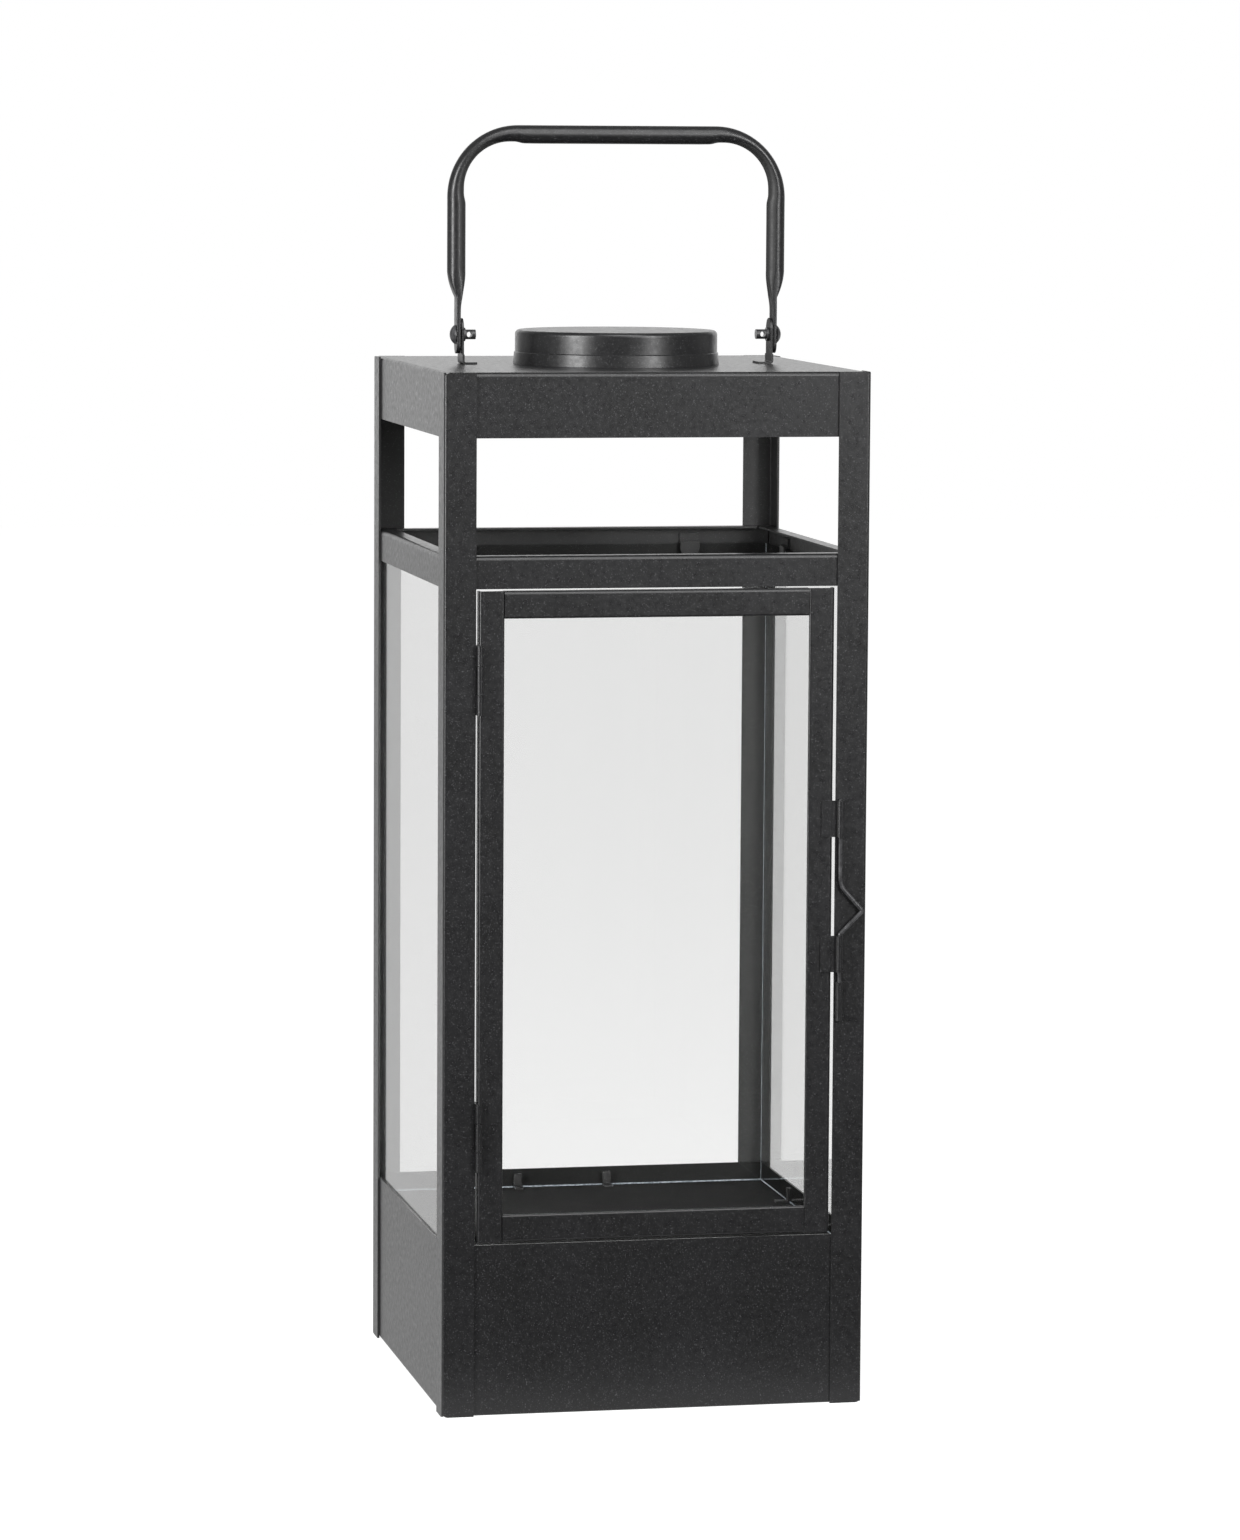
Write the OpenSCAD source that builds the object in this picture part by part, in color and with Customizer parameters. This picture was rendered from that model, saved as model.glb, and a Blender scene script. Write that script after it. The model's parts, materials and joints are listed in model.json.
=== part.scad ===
// Candle lantern: a square frame of folded sheet metal with glass panes, a hinged
// glass door with a sliding wire bolt, a round cap and a bail handle.
// The origin is the centre of the footprint on the ground. +Z is up, the door faces -Y.

/* [Body] */
// Outside width of the square body
body_w = 200; // [180:1:240]
// Height of the body without cap and handle
body_h = 484; // [460:1:560]
// Thickness of the sheet metal
sheet = 1; // [0.8:0.1:1.2]
// Width of each flange of a corner post
post_w = 15; // [13:0.5:18]
// Inner radius of the fold along a corner post
post_fold = 0.5; // [0.3:0.1:1]
// Radius of the ground-off corners at both ends of the posts
post_corner = 3; // [1:0.5:4]

/* [Top] */
// Height of the band round the top
band_h = 30; // [20:1:40]
// Inner radius of the folds of the top, the mid rails and the base
fold = 1; // [0.5:0.1:2]
// Diameter of the round cap above its skirt
cap_d = 96; // [80:1:110]
// Height of the cap
cap_h = 16; // [14:0.5:24]
// Height of the flared skirt at the foot of the cap
cap_skirt = 5.4; // [4:0.2:8]
// How far the skirt of the cap flares out
cap_flare = 0.9; // [0.4:0.1:2]
// Outer radius of the round edge of the cap
cap_edge = 2; // [1.5:0.1:4]
// Diameter of the vent hole under the cap
vent_d = 80; // [50:1:88]

/* [Mid rails] */
// Clear height of the open gallery under the band
gallery_h = 54; // [40:1:70]
// Height of the face of a mid rail
rail_h = 15; // [12:0.5:20]
// Width of the flange that a mid rail turns inward
rail_flange = 8; // [6:0.5:12]

/* [Base] */
// Height of the base panels
base_h = 80.5; // [60:0.5:110]
// Width of the foot flange that a base panel turns inward
foot_flange = 10; // [8:0.5:14]
// How far the candle shelf lies below the top of the base panels
shelf_drop = 9; // [6:0.5:16]
// Height of the skirt round the candle shelf
shelf_skirt = 12; // [8:1:20]

/* [Glass] */
// Thickness of the panes
glass_t = 2; // [1.5:0.1:3]
// Gap between the edges of neighbouring panes
glass_gap = 0.3; // [0.2:0.1:1]
// How far the top edges of the fixed panes lie below the top of the mid rails
glass_drop = 8.8; // [6:0.2:10]
// Width of a clip at the top of a fixed pane
clip_w = 9.6; // [6:0.2:14]
// Height of a clip at the top of a fixed pane
clip_h = 10; // [7:0.2:10]
// Distance of the upper clips from the middle of their rail
clip_offset = 57.4; // [30:0.2:66]
// How far the top of a clip lies below the top of its rail
clip_drop = 3.7; // [2:0.1:5]
// Width of a small stop at the foot of a fixed pane
stop_w = 4; // [3:0.5:8]
// Height of a small stop at the foot of a fixed pane
stop_h = 7; // [5:0.5:9]

/* [Door] */
// Gap beside and below the door
door_gap = 1.3; // [1.3:0.1:2]
// Gap above the door
head_gap = 0.9; // [0.8:0.1:2]
// Width of the stiles of the door
stile_w = 12; // [11:0.5:16]
// Height of the rails of the door
door_rail_h = 12.7; // [11:0.1:16]
// Depth of the flange round the outside of the door frame
door_depth = 5; // [3.8:0.1:5]
// Inner radius of the fold round the door frame
door_fold = 0.6; // [0.3:0.1:1]
// Width of the hem along the inner edges of the door frame
hem_w = 4.5; // [3:0.1:6]
// Height of a clip that holds the door pane
door_clip_h = 10; // [6:0.5:16]
// Distance of the pane clips from the ends of the door
door_clip_inset = 60; // [30:1:80]

/* [Hinges] */
// Height of a hinge
hinge_h = 32; // [26:0.5:40]
// Height of the middle knuckle of a hinge
knuckle_h = 13.2; // [10:0.2:16]
// Outer diameter of a hinge barrel
barrel_d = 3.2; // [3:0.1:3.4]
// Diameter of a hinge pin
hinge_pin_d = 1.6; // [1.2:0.1:1.8]
// Thickness of a hinge leaf
leaf_t = 0.5; // [0.3:0.05:0.5]
// Width of the hinge leaf behind the post
leaf_w = 10; // [6:0.5:12]
// Distance from the top of the door to the upper hinge
hinge_upper_inset = 24.8; // [15:0.1:60]
// Distance from the bottom of the door to the lower hinge
hinge_lower_inset = 33.5; // [15:0.1:60]

/* [Latch] */
// Diameter of the bolt wire
wire_d = 1.9; // [1.6:0.1:2.2]
// Thickness of the strip that the latch loops are rolled from
loop_t = 0.65; // [0.5:0.05:0.8]
// Height of a loop on the door
loop_h = 17; // [12:0.5:22]
// Height of the keeper loop on the post
keeper_h = 18; // [14:0.5:22]
// Width of the foot of a latch loop
loop_foot = 5.5; // [4:0.5:6]
// Height of the middle of the lower loop above the bottom of the door
loop_rise = 131.4; // [80:0.2:180]
// Distance between the two loops on the door
loop_pitch = 63.4; // [58:0.2:80]
// Gap between the lower loop and the keeper below it
keeper_gap = 4.7; // [3:0.1:8]
// How far the thumb pull reaches out from the bolt
thumb_reach = 10.4; // [8:0.1:11]
// Bend radius at the tip and at the foot of the thumb pull
tip_bend = 1.2; // [1.2:0.1:2]
// Bend radius at the top of the thumb pull
thumb_bend = 10; // [4:0.5:12]
// How deep the bolt sits in the keeper
bolt_engage = 15.5; // [12:0.5:15.5]

/* [Handle] */
// Height of the pivots above the top
pivot_rise = 13.9; // [12:0.1:20]
// Height of the middle of the grip above the pivots
bail_rise = 94; // [70:0.5:140]
// Diameter of the rolled tube of the handle
tube_d = 8.7; // [7:0.1:10]
// Wall of the rolled tube
tube_wall = 1; // [0.8:0.1:1.5]
// Width of the open seam along the inside of the tube
seam_w = 1.4; // [0.5:0.1:3]
// Radius of the corners of the handle along the middle of the tube
bail_corner = 27; // [15:0.5:35]
// Distance from the inner face of a flattened end to the middle of its rolled leg
leg_offset = 1.7; // [0.5:0.1:3]
// Thickness of the flattened ends of the handle
strap_t = 2; // [1.6:0.1:2.4]
// Width of the flattened ends of the handle
strap_w = 8.5; // [7.5:0.1:10]
// Length of the flattened ends above the pivots
strap_rise = 17.5; // [13:0.5:25]
// Length over which the tube is flattened
taper_h = 13; // [8:0.5:20]

/* [Ears and pivot pins] */
// Distance of the inner faces of the ears from the sides of the body
ear_inset = 25.9; // [24:0.1:34]
// Width of an ear
ear_w = 10; // [8.5:0.1:12]
// Width of the foot of an ear
foot_w = 13.6; // [12.5:0.1:16]
// Length of the foot of an ear, inward from the outer face of the ear
foot_len = 7; // [5:0.1:10]
// Diameter of the pivot pins
pin_d = 4.6; // [4:0.1:5]
// Diameter of the domed head of a pivot pin
head_d = 9.2; // [8:0.1:10]
// Height of the domed head of a pivot pin
head_h = 2.4; // [1.5:0.1:3]
// How far a pivot pin stands out on the inside of its ear
pin_tail = 6.2; // [5:0.1:8]
// Diameter of the cross hole in the tail of a pivot pin
cross_d = 2.6; // [1.5:0.1:2.8]
// Outer diameter of the collar on a pivot pin
collar_d = 6.4; // [5.8:0.1:8]
// Thickness of the collar on a pivot pin
collar_t = 1.2; // [0.8:0.1:1.4]

/* [Hidden] */
$fn = 64;

metal = [0.17, 0.17, 0.18];
steel = [0.22, 0.22, 0.23];
clear_glass = [0.80, 0.90, 0.88, 0.35];

// Clearances
running = 0.05;              // radial clearance of a pin in its bore
side_gap = 0.3;              // gap between parts that move past each other
over = 1;                    // how far a cutting tool runs past what it cuts

// Body
half_w = body_w / 2;
skin = half_w - sheet;       // outer faces of the rails, bands and base panels
lining = skin - sheet;       // inner faces of the rails, bands and base panels
inner_corner = post_fold + side_gap;

// Levels
band_z = body_h - band_h;
rail_top = band_z - gallery_h;
rail_z = rail_top - rail_h;
shelf_z = base_h - shelf_drop;
glass_top = rail_top - glass_drop;
pane_face = lining - glass_t;   // inner faces of the fixed panes

// Door
door_w = body_w - 2 * post_w - 2 * door_gap;
door_z = base_h + door_gap;
door_top = rail_z - head_gap;
door_h = door_top - door_z;
window_w = door_w - 2 * stile_w;
hem_t = 2 * sheet;
door_face = -half_w;
door_clip_t = 0.8;
door_pane_y = door_face + hem_t;
door_pane_edge = sheet + door_clip_t + glass_gap;

// Hinges
hinge_x = side_gap - door_w / 2;
hinge_y = door_face - side_gap - barrel_d / 2;
hinge_levels = [door_z + hinge_lower_inset, door_top - hinge_upper_inset - hinge_h];
knuckle_gap = 0.3;
end_knuckle_h = (hinge_h - knuckle_h) / 2 - knuckle_gap;

// Latch
loop_bore = wire_d + 4 * running;
loop_d = loop_bore + 2 * loop_t;
latch_x = half_w - post_w + loop_d / 2 + side_gap;
latch_y = door_face - side_gap - loop_d / 2;
loop_lower_z = door_z + loop_rise - loop_h / 2;
loop_upper_z = loop_lower_z + loop_pitch;
keeper_z = loop_lower_z - keeper_gap - keeper_h;
bolt_end = keeper_z + keeper_h - bolt_engage;
bolt_over = 0.5;             // how far the bolt stands out above the upper loop
bolt_top = loop_upper_z + loop_h + bolt_over;
foot_lap = 0.5;              // how far the web of a loop reaches over its foot
thumb_up = 42;               // slope of the upper leg of the thumb pull, from the vertical
thumb_down = 45;             // slope of the lower leg
thumb_foot_z = loop_lower_z + loop_h + side_gap;
foot_exit = [latch_x + tip_bend * (1 - cos(thumb_down)), thumb_foot_z + tip_bend * sin(thumb_down)];
tip_x = latch_x + thumb_reach - tip_bend;
entry_x = tip_x + tip_bend * cos(thumb_down);
tip_entry = [entry_x, foot_exit[1] + (entry_x - foot_exit[0]) / tan(thumb_down)];
tip_centre = [tip_x, tip_entry[1] + tip_bend * sin(thumb_down)];
tip_exit = tip_centre + tip_bend * [cos(thumb_up), sin(thumb_up)];
top_x = latch_x + thumb_bend * (1 - cos(thumb_up));
top_entry = [top_x, tip_exit[1] + (tip_exit[0] - top_x) / tan(thumb_up)];
thumb_top_z = top_entry[1] + thumb_bend * sin(thumb_up);
bend_slack = 0.06;           // the bends are this much thinner, so that the runs close over them
run_lap = 0.2;               // how far a straight run reaches over a bend

// Handle
pivot_z = body_h + pivot_rise;
ear_x = half_w - ear_inset;
ear_out = ear_x + sheet;
strap_in = ear_out + side_gap;
strap_out = strap_in + strap_t;
leg_x = strap_in + leg_offset;
strap_end = 9;               // from the pivot to the lower end of a flattened end
foot_h = 4.6;                // height up to which an ear is as wide as its foot
foot_bend = 1.5;             // outer radius of the bend between an ear and its foot
ear_end = 7.7;               // from the pivot to the top of an ear
pin_bore = pin_d + 4 * running;
tube_z = pivot_z + strap_rise + taper_h;
corner_z = pivot_z + bail_rise - bail_corner;
corner_x = leg_x - bail_corner;
slice = 0.5;                 // thickness of the two slices that the taper is drawn between

// ---- Shapes that repeat ----

// Rectangle from the origin, with a round corner at the origin
module corner_block(a, b, r) {
  translate([r, 0]) square([a - r, b]);
  translate([0, r]) square([a, b - r]);
  translate([r, r]) circle(r);
}

// Section of sheet folded to an angle, with the outside of the fold at the origin
module angle_section(a, b, r) {
  difference() {
    corner_block(a, b, r + sheet);
    translate([sheet, sheet]) corner_block(a, b, r);
  }
}

// Rectangle about the origin with four round corners
module rounded_square(w, h, r) {
  square([w - 2 * r, h], center = true);
  square([w, h - 2 * r], center = true);
  for (x = [-1, 1], y = [-1, 1])
    translate([x * (w / 2 - r), y * (h / 2 - r)]) circle(r);
}

// Rectangle that stands on the X axis, with round upper corners
module arch(w, h, r) {
  translate([-w / 2, 0]) square([w, h - r]);
  translate([-w / 2 + r, 0]) square([w - 2 * r, h]);
  for (x = [-1, 1]) translate([x * (w / 2 - r), h - r]) circle(r);
}

// Block with round upper edges and slightly round upright corners
module soft_block(w, h, r, corner) {
  intersection() {
    rotate([90, 0, 0]) linear_extrude(w + 2, center = true) arch(w, h, r);
    rotate([90, 0, 90]) linear_extrude(w + 2, center = true) arch(w, h, r);
    linear_extrude(h) rounded_square(w, w, corner);
  }
}

// Square pan turned upside down, folded from one sheet
module folded_pan(w, h) {
  difference() {
    soft_block(w, h, fold + sheet, inner_corner + sheet);
    translate([0, 0, -sheet])
      soft_block(w - 2 * sheet, h, fold, inner_corner);
    translate([0, 0, -over])
      linear_extrude(over) square(w, center = true);
  }
}

// Turns a piece of the front to side 0 front, 1 right, 2 rear, 3 left
module on_side(side) {
  rotate([0, 0, 90 * side]) children();
}

// Region of the front side between its two mitres
module mitre(depth) {
  reach = skin - post_fold;
  linear_extrude(body_h)
    polygon([[-reach, -skin], [reach, -skin], [reach - depth, depth - skin], [depth - reach, depth - skin]]);
}

// ---- Frame ----

// Post of the front left corner, with the outer corner of each flange rounded at both ends
module corner_post() {
  root = skin - post_fold;
  intersection() {
    translate([-half_w, -half_w, 0])
      linear_extrude(body_h) angle_section(post_w, post_w, post_fold);
    translate([0, 0, body_h / 2]) {
      translate([0, -root, 0]) rotate([90, 0, 0])
        linear_extrude(half_w) rounded_square(body_w, body_h, post_corner);
      translate([-root, 0, 0]) rotate([90, 0, -90])
        linear_extrude(half_w) rounded_square(body_w, body_h, post_corner);
    }
  }
}

module post_front_left() { color(metal) corner_post(); }
module post_front_right() { color(metal) mirror([1, 0, 0]) corner_post(); }
module post_rear_left() { color(metal) mirror([0, 1, 0]) corner_post(); }
module post_rear_right() { color(metal) rotate([0, 0, 180]) corner_post(); }

// Top plate and bands in one, with the vent hole
module top_pan() {
  color(metal) difference() {
    translate([0, 0, band_z]) folded_pan(2 * skin, band_h);
    translate([0, 0, band_z]) cylinder(h = band_h + over, d = vent_d);
  }
}

// Outline of the cap: flared skirt, small step, straight wall and round edge
module cap_section(inset) {
  r = cap_d / 2 - inset;
  top = cap_h - inset;
  edge = cap_edge - inset;
  step = cap_flare / 2;
  polygon([[0, 0], [r + cap_flare, 0], [r + step, cap_skirt], [r, cap_skirt + step], [0, cap_skirt + step]]);
  square([r, top - edge]);
  square([r - edge, top]);
  translate([r - edge, top - edge]) circle(edge);
}

module chimney_cap() {
  color(metal) translate([0, 0, body_h]) rotate_extrude() difference() {
    cap_section(0);
    translate([0, -over]) square([cap_d / 2 - sheet, over]);
    cap_section(sheet);
  }
}

module mid_rail(side) {
  color(metal) on_side(side) intersection() {
    translate([0, -skin, rail_top]) rotate([90, 0, 90])
      linear_extrude(body_w, center = true) mirror([0, 1]) angle_section(rail_flange, rail_h, fold);
    mitre(rail_flange + over);
  }
}

module mid_rail_front() { mid_rail(0); }
module mid_rail_right() { mid_rail(1); }
module mid_rail_rear() { mid_rail(2); }
module mid_rail_left() { mid_rail(3); }

module base_panel(side) {
  color(metal) on_side(side) intersection() {
    translate([0, -skin, 0]) rotate([90, 0, 90])
      linear_extrude(body_w, center = true) angle_section(foot_flange, base_h, fold);
    mitre(foot_flange + over);
  }
}

module base_panel_front() { base_panel(0); }
module base_panel_right() { base_panel(1); }
module base_panel_rear() { base_panel(2); }
module base_panel_left() { base_panel(3); }

// Plate that the candle stands on, with its skirt against the base panels
module candle_shelf() {
  color(metal) translate([0, 0, shelf_z - shelf_skirt]) folded_pan(2 * lining, shelf_skirt);
}

// ---- Fixed panes ----

// The rear pane reaches across; the side panes end at it and behind the front posts
module pane_slab(width) {
  translate([-width / 2, pane_face, shelf_z]) cube([width, glass_t, glass_top - shelf_z]);
}

module side_pane(x) {
  front = -lining + glass_gap;
  rear = pane_face - glass_gap;
  translate([x > 0 ? pane_face : -lining, front, shelf_z])
    cube([glass_t, rear - front, glass_top - shelf_z]);
}

module glass_left() { color(clear_glass) side_pane(-1); }
module glass_right() { color(clear_glass) side_pane(1); }
module glass_rear() { color(clear_glass) pane_slab(2 * (lining - glass_gap)); }

// Joggled clip that is welded to the rear rail and laps over the glass
module glass_clip() {
  step_z = glass_top + side_gap;
  low = rail_top - clip_drop - clip_h;
  intersection() {
    rotate([90, 0, 90]) linear_extrude(clip_w, center = true) union() {
      translate([lining - sheet, step_z]) square([sheet, low + clip_h - step_z]);
      translate([pane_face - sheet, step_z]) square([glass_t + sheet, sheet]);
      translate([pane_face - sheet, low]) square([sheet, step_z + sheet - low]);
    }
    translate([0, 0, low + clip_h]) rotate([90, 0, 0])
      linear_extrude(2 * body_w, center = true) mirror([0, 1]) arch(clip_w, clip_h, clip_w / 4);
  }
}

module glass_clips() {
  color(metal) for (side = [1, 2, 3], x = [-1, 1])
    on_side(side - 2) translate([x * clip_offset, 0, 0]) glass_clip();
}

// Small angle on the shelf that keeps the foot of a pane in place
module glass_stop() {
  translate([-stop_w / 2, pane_face, shelf_z]) rotate([90, 0, 90])
    linear_extrude(stop_w) mirror([1, 0]) union() {
      square([sheet, stop_h]);
      square([stop_h, sheet]);
    }
}

// Places of the stops along each side: right, rear, left
stop_places = [[-34, 34], [-28, 17], [-34, 34]];
module glass_stops() {
  color(metal) for (side = [0:2], x = stop_places[side])
    on_side(side - 1) translate([x, 0, 0]) glass_stop();
}

// ---- Door ----

// Section of a door strip: a flange at the outer edge, a hem at the inner edge
module strip_section(w) {
  angle_section(w - sheet, door_depth, door_fold);
  translate([w - hem_w, 0]) square([hem_w - sheet, hem_t]);
  translate([w - sheet, sheet]) circle(sheet);
}

module stile() {
  translate([-door_w / 2, door_face, door_z]) linear_extrude(door_h) strip_section(stile_w);
}

module door_stile_hinge() { color(metal) stile(); }
module door_stile_latch() { color(metal) mirror([1, 0, 0]) stile(); }

// Lower rail of the door, between the stiles
module door_rail() {
  rotate([90, 0, 90]) linear_extrude(window_w, center = true)
    mirror([1, -1]) strip_section(door_rail_h);
}

module door_rail_bottom() { color(metal) translate([0, door_face, door_z]) door_rail(); }
module door_rail_top() {
  color(metal) translate([0, door_face, door_top]) mirror([0, 0, 1]) door_rail();
}

module door_glass() {
  color(clear_glass)
    translate([door_pane_edge - door_w / 2, door_pane_y, door_z + door_pane_edge])
      cube([door_w - 2 * door_pane_edge, glass_t, door_h - 2 * door_pane_edge]);
}

// Small angle that is welded inside the flange of a stile and laps over the pane
module door_clip() {
  pane_back = door_pane_y + glass_t;
  lap = 5;
  translate([-door_w / 2 + sheet, 0, -door_clip_h / 2]) {
    translate([0, door_face + sheet + door_fold, 0])
      cube([door_clip_t, pane_back + door_clip_t - door_face - sheet - door_fold, door_clip_h]);
    translate([0, pane_back, 0]) cube([lap, door_clip_t, door_clip_h]);
  }
}

module door_glass_clips() {
  color(metal) for (x = [0, 1], z = [door_z + door_clip_inset, door_top - door_clip_inset])
    mirror([x, 0, 0]) translate([0, 0, z]) door_clip();
}

// ---- Hinges ----

module knuckle(h) {
  translate([hinge_x, hinge_y, 0]) cylinder(h = h, d = barrel_d);
}

module pin_hole() {
  translate([hinge_x, hinge_y, -over]) cylinder(h = hinge_h + 2 * over, d = hinge_pin_d + 2 * running);
}

// Leaf that goes through the gap beside the door and lies behind the post
module hinge_frame_leaf() {
  web_x = hinge_x - barrel_d / 2;
  back_y = sheet - half_w;
  difference() {
    union() {
      for (z = [0, hinge_h - end_knuckle_h]) translate([0, 0, z]) {
        knuckle(end_knuckle_h);
        translate([web_x, hinge_y, 0]) cube([leaf_t, back_y + leaf_t - hinge_y, end_knuckle_h]);
      }
      translate([web_x + leaf_t - leaf_w, back_y, 0]) cube([leaf_w, leaf_t, hinge_h]);
    }
    pin_hole();
  }
}

// Leaf with the middle knuckle, welded to the flange of the hinge stile
module hinge_door_leaf() {
  web_x = -door_w / 2 - leaf_t;
  difference() {
    union() {
      translate([0, 0, (hinge_h - knuckle_h) / 2]) {
        knuckle(knuckle_h);
        translate([web_x, hinge_y, 0]) cube([leaf_t, door_face - hinge_y + sheet, knuckle_h]);
      }
      translate([web_x, door_face + sheet, 0]) cube([leaf_t, door_depth - sheet, hinge_h]);
    }
    pin_hole();
  }
}

module hinge_frame_leaves() {
  color(metal) for (z = hinge_levels) translate([0, 0, z]) hinge_frame_leaf();
}

module hinge_door_leaves() {
  color(metal) for (z = hinge_levels) translate([0, 0, z]) hinge_door_leaf();
}

module hinge_pins() {
  color(steel) for (z = hinge_levels)
    translate([hinge_x, hinge_y, z]) cylinder(h = hinge_h, d = hinge_pin_d);
}

// ---- Latch ----

// Rolled loop on the axis of the bolt, with its foot to the left on the face below it
module loop(h, foot_end) {
  difference() {
    union() {
      cylinder(h = h, d = loop_d);
      translate([foot_end + loop_foot - foot_lap, loop_d / 2 - loop_t, 0])
        cube([foot_lap - foot_end - loop_foot, loop_t, h]);
      translate([foot_end, loop_d / 2 + side_gap - loop_t, 0]) cube([loop_foot, loop_t, h]);
    }
    translate([0, 0, -over]) cylinder(h = h + 2 * over, d = loop_bore);
  }
}

module latch_loops() {
  color(metal) for (z = [loop_lower_z, loop_upper_z])
    translate([latch_x, latch_y, z]) loop(loop_h, door_w / 2 - latch_x - loop_foot);
}

module latch_keeper() {
  color(metal) translate([latch_x, latch_y, keeper_z])
    mirror([1, 0, 0]) loop(keeper_h, foot_lap - loop_d / 2 - loop_foot);
}

// Bend of the wire in the XZ plane about a centre, from one angle through another
module wire_bend(centre, radius, start, sweep) {
  translate([centre[0], 0, centre[1]]) rotate([90, 0, 0]) rotate([0, 0, start])
    rotate_extrude(angle = sweep) translate([radius, 0]) circle(d = wire_d - bend_slack);
}

// Straight wire from one point of the XZ plane to another, laid a little over the bends
module wire_run(from, to) {
  reach = to - from;
  translate([from[0], 0, from[1]]) rotate([0, atan2(reach[0], reach[1]), 0])
    translate([0, 0, -run_lap]) cylinder(h = norm(reach) + 2 * run_lap, d = wire_d);
}

// Wire bolt with its thumb pull bent to a V
module latch_bolt() {
  color(steel) translate([0, latch_y, 0]) {
    wire_run([latch_x, bolt_end], [latch_x, thumb_foot_z]);
    wire_bend([latch_x + tip_bend, thumb_foot_z], tip_bend, 180 - thumb_down, thumb_down);
    wire_run(foot_exit, tip_entry);
    wire_bend(tip_centre, tip_bend, -thumb_down, thumb_down + thumb_up);
    wire_run(tip_exit, top_entry);
    wire_bend([latch_x + thumb_bend, thumb_top_z], thumb_bend, 180, thumb_up);
    wire_run([latch_x, thumb_top_z], [latch_x, bolt_top]);
  }
}

// ---- Ears, pivot pins and handle ----

// Outline of an ear across its width, with the pivot at the origin
module ear_outline() {
  round_r = ear_w / 2;
  difference() {
    union() {
      translate([0, ear_end - round_r]) circle(round_r);
      translate([-round_r, -pivot_rise]) square([ear_w, pivot_rise + ear_end - round_r]);
      translate([-foot_w / 2, -pivot_rise]) square([foot_w, foot_h]);
    }
    circle(d = pin_bore);
  }
}

// Section of the sheet an ear is bent from, with the outer corner of the bend at the origin
module ear_section() {
  bend_in = foot_bend - sheet;
  ear_h = pivot_rise + ear_end;
  difference() {
    union() {
      translate([-foot_len, 0]) square([foot_len - foot_bend, sheet]);
      translate([-foot_bend, foot_bend]) circle(foot_bend);
      translate([-sheet, foot_bend]) square([sheet, ear_h - foot_bend]);
    }
    translate([-foot_bend, foot_bend]) circle(bend_in);
    translate([-2 * foot_bend, sheet]) square([foot_bend, 2 * foot_bend]);
    translate([-2 * foot_bend, foot_bend]) square([2 * foot_bend - sheet, foot_bend]);
  }
}

// Ear on the +X side: it is bent inward at its foot, which is welded to the top
module ear() {
  intersection() {
    translate([ear_out, 0, body_h]) rotate([90, 0, 0])
      linear_extrude(foot_w, center = true) ear_section();
    translate([ear_out - foot_len - over, 0, pivot_z]) rotate([90, 0, 90])
      linear_extrude(foot_len + 2 * over) ear_outline();
  }
}

module ear_left() { color(metal) mirror([1, 0, 0]) ear(); }
module ear_right() { color(metal) ear(); }

// Pin on the +X side, with its domed head outside and a cross hole in its tail
module pivot_pin() {
  head_x = strap_out + side_gap;
  dome_r = (pow(head_d / 2, 2) + pow(head_h, 2)) / (2 * head_h);
  tail = ear_x - pin_tail;
  translate([0, 0, pivot_z]) {
    difference() {
      translate([tail, 0, 0]) rotate([0, 90, 0]) cylinder(h = head_x - tail, d = pin_d);
      translate([ear_x - pin_tail / 2, 0, 0]) rotate([90, 0, 0])
        cylinder(h = 2 * pin_d, d = cross_d, center = true);
    }
    translate([head_x, 0, 0]) rotate([0, 90, 0]) rotate_extrude() intersection() {
      translate([0, head_h - dome_r]) circle(dome_r);
      square([head_d, head_h]);
    }
  }
}

module pivot_pin_left() { color(steel) mirror([1, 0, 0]) pivot_pin(); }
module pivot_pin_right() { color(steel) pivot_pin(); }

// Collars on the pins, on the inside of the ears
module pivot_collars() {
  color(steel) for (x = [0, 1]) mirror([x, 0, 0])
    translate([ear_x - collar_t, 0, pivot_z]) rotate([0, 90, 0]) difference() {
      cylinder(h = collar_t, d = collar_d);
      translate([0, 0, -over]) cylinder(h = collar_t + 2 * over, d = pin_d + 2 * running);
    }
}

// Section of the rolled tube, with its open seam towards -X
module tube_section() {
  difference() {
    circle(d = tube_d);
    circle(d = tube_d - 2 * tube_wall);
    translate([-tube_d, -seam_w / 2]) square([tube_d, seam_w]);
  }
}

// One side of the handle: flattened end, taper, rolled leg and round corner
module bail_side() {
  difference() {
    translate([strap_in, 0, pivot_z]) rotate([90, 0, 90]) linear_extrude(strap_t) union() {
      translate([0, strap_w / 2 - strap_end]) circle(d = strap_w);
      translate([-strap_w / 2, strap_w / 2 - strap_end])
        square([strap_w, strap_end - strap_w / 2 + strap_rise]);
    }
    translate([strap_in - over, 0, pivot_z]) rotate([0, 90, 0])
      cylinder(h = strap_t + 2 * over, d = pin_bore);
  }
  hull() {
    translate([strap_in, -strap_w / 2, tube_z - taper_h - slice]) cube([strap_t, strap_w, slice]);
    translate([leg_x, 0, tube_z]) cylinder(h = slice, d = tube_d, $fn = 32);
  }
  translate([leg_x, 0, tube_z]) linear_extrude(corner_z - tube_z) tube_section();
  translate([corner_x, 0, corner_z]) rotate([90, 0, 0])
    rotate_extrude(angle = 90) translate([bail_corner, 0]) tube_section();
}

module bail_handle() {
  color(metal) {
    bail_side();
    mirror([1, 0, 0]) bail_side();
    translate([0, 0, pivot_z + bail_rise]) rotate([0, 90, 0])
      linear_extrude(2 * corner_x, center = true) mirror([1, 0]) tube_section();
  }
}

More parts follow.
